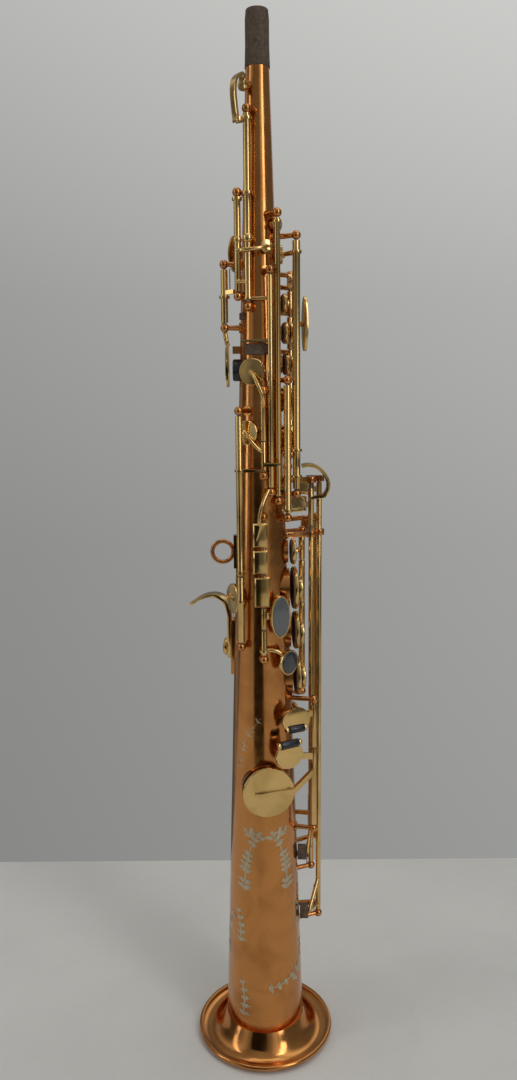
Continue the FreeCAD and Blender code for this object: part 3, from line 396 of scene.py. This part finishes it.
def build_finishes(colours):
    """Every material of the instrument, by name."""
    made = {}
    made["copper_lacquer"] = lacquered_metal(
        "copper_lacquer", colours.copper, colours.copper_deep, 0.16, (1, 1, 0.06)
    )
    made["bell_copper"] = lacquered_metal(
        "bell_copper", colours.copper, colours.copper_deep, 0.13, (1, 1, 0.5)
    )
    made["gold_brass"] = lacquered_metal(
        "gold_brass", colours.brass, colours.brass_deep, 0.12, (1, 1, 0.08)
    )

    steel = Finish("steel", 0.28, metallic=1.0)
    blueing = steel.noise(scale=90, detail=3)
    steel.feed("Base Color", steel.ramp(blueing, [(0.35, (0.16, 0.18, 0.24)), (0.7, (0.42, 0.41, 0.40))]))
    steel.feed("Roughness", steel.spread(steel.noise(scale=400, detail=2), 0.2, 0.42))
    steel.relief(steel.noise(scale=1500, detail=2, stretch=(1, 1, 0.05)), 0.06, 0.0001)
    made["steel"] = steel.material

    corks = (("cork", colours.cork, 1.0), ("bumper_cork", shade(colours.cork, 1.15), 0.7))
    for name, colour, pore in corks:
        cork = Finish(name, 0.72)
        patches = cork.noise(scale=260, detail=6, rough=0.65, distortion=1.2)
        base = cork.ramp(
            patches,
            [(0.28, shade(colour, 0.45)), (0.5, colour), (0.72, shade(colour, 1.75))],
        )
        grains = cork.ramp(cork.cells(520), [(0.05, (0.55, 0.5, 0.47)), (0.4, (1, 1, 1))])
        cork.feed("Base Color", cork.multiply(base, grains, 0.8))
        cork.feed("Roughness", cork.spread(patches, 0.55, 0.85))
        cork.relief(cork.cells(520), 0.4 * pore, 0.0003)
        cork.relief(cork.noise(scale=1800, detail=4), 0.35, 0.00015)
        made[name] = cork.material

    leather = Finish("pad_leather", 0.6)
    tan = leather.noise(scale=180, detail=4)
    leather.feed(
        "Base Color",
        leather.ramp(tan, [(0.3, shade(colours.leather, 0.7)), (0.7, shade(colours.leather, 1.25))]),
    )
    leather.feed("Roughness", leather.spread(leather.noise(scale=900), 0.45, 0.7))
    leather.relief(leather.cells(2200), 0.25, 0.0001)
    made["pad_leather"] = leather.material

    for name, colour in (("pearl", colours.pearl), ("dark_pearl", shade(colours.pearl, 0.22))):
        pearl = Finish(name, 0.16)
        sheen = pearl.noise(scale=210, detail=3, distortion=2.5, stretch=(1, 1, 0.35))
        cool = (colour[0] * 0.78, colour[1] * 0.92, colour[2] * 1.08)
        warm = (colour[0] * 1.15, colour[1] * 1.02, colour[2] * 1.02)
        pearl.feed("Base Color", pearl.ramp(sheen, [(0.3, cool), (0.5, colour), (0.7, warm)]))
        pearl.feed("Roughness", pearl.spread(sheen, 0.10, 0.26))
        pearl.relief(pearl.noise(scale=500, detail=2), 0.03, 0.0001)
        pearl.set("Coat Weight", 0.8)
        pearl.set("Coat Roughness", 0.04)
        made[name] = pearl.material

    for name, colour in (("black_roller", (0.012, 0.013, 0.018)), ("black_rest", (0.020, 0.020, 0.022))):
        black = Finish(name, 0.22)
        wear = black.noise(scale=300, detail=4)
        black.feed("Base Color", black.ramp(wear, [(0.35, colour), (0.75, shade(colour, 2.6))]))
        black.feed("Roughness", black.spread(wear, 0.14, 0.38))
        black.relief(black.noise(scale=1200, detail=3), 0.08, 0.0001)
        made[name] = black.material

    cut = Finish("engraved_line", 0.42, metallic=1.0)
    hatch = cut.noise(scale=1500, detail=2, stretch=(1, 1, 0.2))
    cut.feed("Base Color", cut.ramp(hatch, [(0.35, (0.50, 0.40, 0.26)), (0.65, (0.72, 0.62, 0.46))]))
    cut.feed("Roughness", cut.spread(hatch, 0.35, 0.6))
    cut.relief(hatch, 0.3, 0.0001)
    made["engraved_line"] = cut.material
    return made


FINISHES = {}


def finish_piece(piece, finish, body, *nodes):
    """Gives a piece its finish and its body, and lets it stand for its nodes."""
    piece.data.materials.clear()
    piece.data.materials.append(FINISHES[finish])
    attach(piece, body)
    if nodes:
        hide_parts(*nodes)


# ---- working a copy of a node ----
def deselect_all():
    for thing in bpy.context.view_layer.objects:
        thing.select_set(False)


def take_copy(node, name, triangles=None):
    """A worked copy of a node, or of some of its triangles, joined into whole surfaces."""
    source = frame["nodes"][node]
    piece = bpy.data.objects.new(name, source.data.copy())
    piece.data.name = name
    bpy.context.scene.collection.objects.link(piece)
    deselect_all()
    piece.select_set(True)
    bpy.context.view_layer.objects.active = piece
    if piece.data.has_custom_normals:
        bpy.ops.mesh.customdata_custom_splitnormals_clear()
    bpy.ops.object.mode_set(mode="EDIT")
    if triangles is not None:
        bpy.ops.mesh.select_all(action="DESELECT")
        bpy.ops.mesh.select_mode(type="FACE")
        bpy.ops.object.mode_set(mode="OBJECT")
        wanted = set(triangles)
        for face in piece.data.polygons:
            face.select = face.index not in wanted
        bpy.ops.object.mode_set(mode="EDIT")
        bpy.ops.mesh.delete(type="FACE")
    bpy.ops.mesh.select_mode(type="VERT")
    bpy.ops.mesh.select_all(action="SELECT")
    bpy.ops.mesh.remove_doubles(threshold=WELD_DISTANCE)
    bpy.ops.mesh.select_all(action="DESELECT")
    bpy.ops.object.mode_set(mode="OBJECT")
    return piece


def first_closed(faces, places):
    """How many faces, from the front of the list, close up into one solid, or None."""
    open_edges = set()
    for count, corners in enumerate(faces, 1):
        spots = [places[corner] for corner in corners]
        for start, end in zip(spots, spots[1:] + spots[:1]):
            if (end, start) in open_edges:
                open_edges.remove((end, start))
            elif start != end:
                open_edges.add((start, end))
        if not open_edges:
            return count
    return None


def solids_of(node):
    """The triangle numbers of each solid in a node, in the order they were drawn."""
    mesh = frame["nodes"][node].data
    places = [tuple(round(value * GRID_PER_METRE) for value in vertex.co) for vertex in mesh.vertices]
    faces = [tuple(face.vertices) for face in mesh.polygons]
    numbers = list(range(len(faces)))
    solids = []
    while numbers:
        count = first_closed([faces[number] for number in numbers], places)
        if count is None:
            break
        solids.append(numbers[:count])
        numbers = numbers[count:]
    tail = []
    while numbers:
        backwards = [faces[number] for number in reversed(numbers)]
        count = first_closed(backwards, places)
        if count is None:
            break
        tail.insert(0, numbers[-count:])
        numbers = numbers[:-count]
    if numbers:
        solids.append(numbers)
    return solids + tail


def soften(piece, width, segments, crease):
    """Smooth shading with narrow rounded edges, which catch the light as polished edges do."""
    deselect_all()
    piece.select_set(True)
    bpy.context.view_layer.objects.active = piece
    if width > 0:
        bpy.ops.object.mode_set(mode="EDIT")
        bpy.ops.mesh.select_all(action="SELECT")
        bpy.ops.mesh.dissolve_limited(angle_limit=FLAT_ANGLE)
        bpy.ops.mesh.select_all(action="DESELECT")
        bpy.ops.object.mode_set(mode="OBJECT")
        bevel = piece.modifiers.new("edges", "BEVEL")
        bevel.width = width
        bevel.segments = segments
        bevel.limit_method = "ANGLE"
        bevel.angle_limit = crease
        bpy.ops.object.modifier_apply(modifier=bevel.name)
    bpy.ops.object.shade_smooth_by_angle(angle=crease)


def repaint(node, finish):
    """Keeps a node as it is and gives it a finish."""
    kept = frame["nodes"][node]
    for holder in kept.material_slots:
        holder.material = FINISHES[finish]


def carry_over(context, node, finish, name=None, width=None):
    sizes = context.scene.saxophone_sizes
    piece = take_copy(node, name or node + "_finished")
    soften(
        piece,
        sizes.edge_break if width is None else width,
        sizes.bevel_segments,
        sizes.crease_angle,
    )
    finish_piece(piece, finish, BODY_OF_NODE[node], node)
    return piece


class SAX_OT_finishes(Operator):
    """Mix the finishes"""

    bl_idname = "sax.finishes"
    bl_label = "Mix Finishes"

    def execute(self, context):
        FINISHES.update(build_finishes(context.scene.saxophone_finishes))
        return {"FINISHED"}


class SAX_OT_body(Operator):
    """Body tube, bell, posts and fittings in copper lacquer"""

    bl_idname = "sax.body"
    bl_label = "Build Body"

    def execute(self, context):
        for node in KEPT_NODES:
            finish = "steel" if node in STEEL_NODES else "copper_lacquer"
            if node.startswith("bell"):
                finish = "bell_copper"
            repaint(node, finish)
        for node in COPPER_NODES:
            carry_over(context, node, "copper_lacquer")
        for node in BRASS_NODES:
            carry_over(context, node, "gold_brass")
        carry_over(context, "thumb_rest", "black_rest")
        carry_over(context, "cork_bumpers", "bumper_cork")
        return {"FINISHED"}


class SAX_OT_neck_cork(Operator):
    """Greased cork sleeve on the neck"""

    bl_idname = "sax.neck_cork"
    bl_label = "Build Neck Cork"

    def execute(self, context):
        carry_over(context, "neck_cork", "cork", name="neck_cork_sleeve")
        return {"FINISHED"}


class SAX_OT_keys(Operator):
    """Keys with their pads, pearls and bumpers as separate pieces"""

    bl_idname = "sax.keys"
    bl_label = "Build Keys"

    def execute(self, context):
        sizes = context.scene.saxophone_sizes
        done = set(KEPT_NODES + COPPER_NODES + BRASS_NODES + PEARL_NODES + ROLLER_NODES)
        done.update(("thumb_rest", "cork_bumpers", "neck_cork"))
        for node in sorted(frame["nodes"]):
            if node in done:
                continue
            body = BODY_OF_NODE[node]
            solids = solids_of(node)
            metal = take_copy(node, node + "_metal", solids[0])
            soften(metal, sizes.edge_break, sizes.bevel_segments, sizes.crease_angle)
            finish_piece(metal, "gold_brass", body, node)
            finishes = INNER_FINISHES.get(node, PLAIN_KEY_FINISHES)
            for triangles, finish in zip(solids[1:], finishes):
                inner = take_copy(node, f"{node}_{finish}", triangles)
                rounding = sizes.pearl_round if "pearl" in finish else sizes.edge_break
                soften(inner, rounding, sizes.bevel_segments, sizes.crease_angle)
                finish_piece(inner, finish, body)
        return {"FINISHED"}


class SAX_OT_pearls(Operator):
    """Finger pearls and black rollers"""

    bl_idname = "sax.pearls"
    bl_label = "Build Pearls and Rollers"

    def execute(self, context):
        sizes = context.scene.saxophone_sizes
        for node in PEARL_NODES:
            carry_over(context, node, "pearl", width=sizes.pearl_round)
        for node in ROLLER_NODES:
            carry_over(context, node, "black_roller", width=sizes.pearl_round)
        return {"FINISHED"}


# ---- engraving: leaf strokes laid on the tube ----
def leaf_outline(start, heading, length, width, bend, steps=10):
    """Centre line and half widths of one leaf stroke on the unrolled tube, in millimetres."""
    x, y = start
    points = []
    for step in range(steps + 1):
        share = step / steps
        half = max(width * math.sin(math.pi * share**0.8), LEAF_TIP)
        points.append((x, y, half, heading + bend * share))
        turn = heading + bend * (share + 0.5 / steps)
        x += length / steps * math.cos(turn)
        y += length / steps * math.sin(turn)
    return points


def frond(heading, length, bend, leaves, reach, width):
    """A stem with curling side leaves, all as strokes."""
    stem = leaf_outline((0, 0), heading, length, width * STEM_SHARE, bend)
    strokes = [stem]
    for index in range(leaves):
        share = (index + 0.4) / leaves
        x, y, _, along = stem[min(int(share * (len(stem) - 1)), len(stem) - 2)]
        for side in (-1, 1):
            size = reach * (1.0 - 0.5 * share) * (1.0 if side * bend < 0 else 0.7)
            strokes.append(
                leaf_outline((x, y), along + side * 0.35, size, width, side * LEAF_CURL)
            )
    return strokes


def add_stroke(verts, faces, stroke, azimuth, height, proud):
    """Lays one stroke on the tube about a compass direction and a height."""
    first = len(verts)
    for x, y, half, heading in stroke:
        across = Vector((-math.sin(heading), math.cos(heading)))
        for offset, lift in STROKE_SECTION:
            flat_x = (x + across.x * half * offset) * MM
            z = height + (y + across.y * half * offset) * MM
            radius = TUBE_BASE_RADIUS - TUBE_TAPER * z
            angle = azimuth + flat_x / radius
            radius += proud * lift
            verts.append((radius * math.cos(angle), radius * math.sin(angle), z))
    corners = len(STROKE_SECTION)
    for step in range(len(stroke) - 1):
        near = first + step * corners
        for side in range(corners):
            turn = (side + 1) % corners
            faces.append((near + side, near + turn, near + corners + turn, near + corners + side))
    last = first + (len(stroke) - 1) * corners
    faces.append(tuple(range(first + corners - 1, first - 1, -1)))
    faces.append(tuple(range(last, last + corners)))


# Section of a stroke: share of the half width, and height over the tube in burr heights.
STROKE_SECTION = ((-1, 0.5), (0, 1.0), (1, 0.5), (0, -2.5))
STEM_SHARE = 0.55
LEAF_CURL = 1.5
LEAF_TIP = 0.06
LAYER_STEP = 0.05
# Each spray: compass direction (degrees), height (mm), start heading (degrees), length, bend, leaves,
# side leaf length and stroke half width (mm).
SPRAYS = (
    (-122, 113, 96, 40, -0.6, 8, 9.0, 1.5),
    (-125, 150, 60, 17, -2.4, 4, 6.0, 1.3),
    (-50, 113, 84, 40, 0.6, 8, 9.0, 1.5),
    (-47, 150, 120, 17, 2.4, 4, 6.0, 1.3),
    (-133, 76, 80, 25, 0.6, 5, 7.0, 1.3),
    (-42, 47, 25, 28, 1.3, 6, 7.0, 1.3),
    (-84, 46, 0, 28, 0.8, 5, 5.5, 1.2),
    (-126, 24, 75, 28, 0.7, 5, 7.0, 1.3),
    (-140, 196, 80, 38, -0.5, 7, 6.5, 0.45),
    (-16, 80, 95, 36, -0.6, 7, 8.5, 1.4),
    (165, 120, 95, 40, 0.6, 8, 9.0, 1.5),
    (195, 60, 95, 34, -0.6, 7, 8.5, 1.4),
    (140, 60, 85, 34, 0.6, 7, 8.5, 1.4),
)


class SAX_OT_engraving(Operator):
    """Leaf sprays engraved round the lower body"""

    bl_idname = "sax.engraving"
    bl_label = "Engrave Body"

    def execute(self, context):
        proud = context.scene.saxophone_sizes.engraving_proud
        verts = []
        faces = []
        for azimuth, height, heading, length, bend, leaves, reach, width in SPRAYS:
            strokes = frond(math.radians(heading), length, bend, leaves, reach, width)
            for index, stroke in enumerate(strokes):
                level = proud * (1.0 + LAYER_STEP * index)
                add_stroke(verts, faces, stroke, math.radians(azimuth), height * MM, level)
        mesh = bpy.data.meshes.new("body_engraving")
        mesh.from_pydata(verts, [], faces)
        piece = bpy.data.objects.new("body_engraving", mesh)
        context.scene.collection.objects.link(piece)
        deselect_all()
        piece.select_set(True)
        context.view_layer.objects.active = piece
        bpy.ops.object.mode_set(mode="EDIT")
        bpy.ops.mesh.select_all(action="SELECT")
        bpy.ops.mesh.normals_make_consistent(inside=False)
        bpy.ops.object.mode_set(mode="OBJECT")
        bpy.ops.object.shade_smooth_by_angle(angle=ENGRAVING_CREASE)
        finish_piece(piece, "engraved_line", "body")
        return {"FINISHED"}


# ---- stage ----
def add_softbox(name, place, target, size, power):
    data = bpy.data.lights.new(name, "AREA")
    data.shape = "RECTANGLE"
    data.size, data.size_y = size
    data.energy = power
    lamp = bpy.data.objects.new(name, data)
    bpy.context.scene.collection.objects.link(lamp)
    lamp.location = place
    lamp.rotation_euler = (Vector(target) - Vector(place)).to_track_quat("-Z", "Y").to_euler()
    return lamp


class WorldNodes:
    """Short calls for the nodes of the room's light."""

    def __init__(self, world):
        world.use_nodes = True
        self.tree = world.node_tree
        self.tree.nodes.clear()
        coordinate = self.add("ShaderNodeTexCoord")
        split = self.add("ShaderNodeSeparateXYZ")
        self.link(coordinate.outputs["Generated"], split.inputs["Vector"])
        self.x, self.y, self.z = split.outputs

    def add(self, kind):
        return self.tree.nodes.new(kind)

    def link(self, source, target):
        self.tree.links.new(source, target)

    def bands(self, source, stops):
        """Brightness that changes along one direction of the room."""
        spread = self.add("ShaderNodeMapRange")
        spread.inputs["From Min"].default_value = -1.0
        self.link(source, spread.inputs["Value"])
        ramp = self.add("ShaderNodeValToRGB")
        elements = ramp.color_ramp.elements
        for index, (position, level) in enumerate(stops):
            if index < 2:
                element = elements[index]
                element.position = position
            else:
                element = elements.new(position)
            element.color = (level, level, level * WALL_WARMTH, 1)
        self.link(spread.outputs["Result"], ramp.inputs["Fac"])
        return ramp.outputs["Color"]

    def multiply(self, first, second):
        mix = self.add("ShaderNodeMix")
        mix.data_type = "RGBA"
        mix.blend_type = "MULTIPLY"
        mix.inputs["Factor"].default_value = 1.0
        self.link(first, mix.inputs["A"])
        self.link(second, mix.inputs["B"])
        return mix.outputs["Result"]


def build_world():
    """A pale grey room: plain behind the instrument, with lighter and darker bands in the polish."""
    world = bpy.data.worlds.new("room")
    bpy.context.scene.world = world
    room = WorldNodes(world)
    wall = room.multiply(room.bands(room.z, WALL_BY_HEIGHT), room.bands(room.x, WALL_BY_WIDTH))
    polish = room.multiply(
        room.bands(room.z, POLISH_BY_HEIGHT), room.bands(room.x, POLISH_BY_WIDTH)
    )
    seen = room.add("ShaderNodeBackground")
    room.link(wall, seen.inputs["Color"])
    lit = room.add("ShaderNodeBackground")
    room.link(polish, lit.inputs["Color"])
    path = room.add("ShaderNodeLightPath")
    choose = room.add("ShaderNodeMixShader")
    room.link(path.outputs["Is Camera Ray"], choose.inputs["Fac"])
    room.link(lit.outputs["Background"], choose.inputs[1])
    room.link(seen.outputs["Background"], choose.inputs[2])
    output = room.add("ShaderNodeOutputWorld")
    room.link(choose.outputs["Shader"], output.inputs["Surface"])


def add_dark_card():
    """Black card that only shows as a dark band in polished metal."""
    deselect_all()
    middle = ((CARD_LEFT + CARD_RIGHT) / 2, CARD_DEPTH, (CARD_LOW + CARD_HIGH) / 2)
    bpy.ops.mesh.primitive_plane_add(size=1.0, location=middle, rotation=(math.pi / 2, 0, 0))
    card = bpy.context.active_object
    card.name = "dark_card"
    card.scale = (CARD_RIGHT - CARD_LEFT, CARD_HIGH - CARD_LOW, 1.0)
    finish = Finish("dark_card", 0.9)
    # Painted reflection: the card's faintly uneven near-black shows only as a dark band mirrored in the
    # polished metal.
    reflected_dark = [(0.2, (0.01, 0.01, 0.01)), (0.8, (0.03, 0.03, 0.03))]
    finish.feed("Base Color", finish.ramp(finish.noise(scale=3), reflected_dark))
    card.data.materials.append(finish.material)
    card.visible_camera = False
    card.visible_diffuse = False
    card.visible_shadow = False


def build_floor(context):
    """Pale cloth floor: a flat plane with a straight back edge."""
    stage = context.scene.saxophone_stage
    deselect_all()
    bpy.ops.mesh.primitive_plane_add(size=1.0, location=(0, 0, 0))
    floor = context.active_object
    floor.name = "floor"
    for vertex in floor.data.vertices:
        vertex.co.x *= 2 * FLOOR_HALF_WIDTH
        vertex.co.y = stage.floor_depth if vertex.co.y > 0 else FLOOR_FRONT
        vertex.co.z = FRAME_LOW.z - FLOOR_GAP
    finish = Finish("floor_cloth", 0.75)
    cloud = finish.noise(scale=6, detail=3)
    colour = tuple(stage.floor_colour)
    finish.feed("Base Color", finish.ramp(cloud, [(0.3, shade(colour, 0.94)), (0.7, shade(colour, 1.04))]))
    finish.relief(finish.noise(scale=24, detail=4, distortion=0.5), 0.25, 0.01)
    finish.relief(finish.noise(scale=1400, detail=2), 0.2, 0.0004)
    floor.data.materials.append(finish.material)


class SAX_OT_stage(Operator):
    """Floor, light and camera"""

    bl_idname = "sax.stage"
    bl_label = "Set Stage"

    def execute(self, context):
        stage = context.scene.saxophone_stage
        build_world()
        build_floor(context)
        for name, place, share, size, power in SOFTBOXES:
            target = (0, 0, (FRAME_LOW.z + FRAME_HIGH.z) * share)
            add_softbox(name, place, target, size, stage.light_power * power)
        add_dark_card()
        context.scene.view_settings.view_transform = "Standard"
        data = bpy.data.cameras.new("camera")
        data.lens = stage.lens
        data.sensor_width = SENSOR_WIDTH
        data.shift_x = stage.shift_x
        data.clip_start = 0.01
        camera = bpy.data.objects.new("camera", data)
        context.scene.collection.objects.link(camera)
        camera.location = (0, -stage.camera_distance, stage.camera_height)
        camera.rotation_euler = (math.pi / 2 - stage.camera_pitch, stage.camera_roll, 0)
        context.scene.camera = camera
        return {"FINISHED"}


class SAX_PT_panel(Panel):
    """Saxophone tools in the sidebar"""

    bl_idname = "SAX_PT_panel"
    bl_label = "Soprano Saxophone"
    bl_space_type = "VIEW_3D"
    bl_region_type = "UI"
    bl_category = "Saxophone"

    def draw(self, context):
        column = self.layout.column()
        for operator in OPERATORS:
            column.operator(operator.bl_idname)
        scene = context.scene
        for group in (scene.saxophone_sizes, scene.saxophone_finishes, scene.saxophone_stage):
            for key in group.__annotations__:
                column.prop(group, key)


OPERATORS = (
    SAX_OT_finishes,
    SAX_OT_body,
    SAX_OT_neck_cork,
    SAX_OT_keys,
    SAX_OT_pearls,
    SAX_OT_engraving,
    SAX_OT_stage,
)
GROUPS = (SaxophoneSizes, SaxophoneFinishes, SaxophoneStage)


def register():
    for made in GROUPS + OPERATORS + (SAX_PT_panel,):
        bpy.utils.register_class(made)
    bpy.types.Scene.saxophone_sizes = PointerProperty(type=SaxophoneSizes)
    bpy.types.Scene.saxophone_finishes = PointerProperty(type=SaxophoneFinishes)
    bpy.types.Scene.saxophone_stage = PointerProperty(type=SaxophoneStage)


def unregister():
    del bpy.types.Scene.saxophone_stage
    del bpy.types.Scene.saxophone_finishes
    del bpy.types.Scene.saxophone_sizes
    for made in reversed(GROUPS + OPERATORS + (SAX_PT_panel,)):
        bpy.utils.unregister_class(made)


def main():
    register()
    bpy.ops.sax.finishes()
    bpy.ops.sax.body()
    bpy.ops.sax.neck_cork()
    bpy.ops.sax.keys()
    bpy.ops.sax.pearls()
    bpy.ops.sax.engraving()
    bpy.ops.sax.stage()


if __name__ == "__main__":
    main()
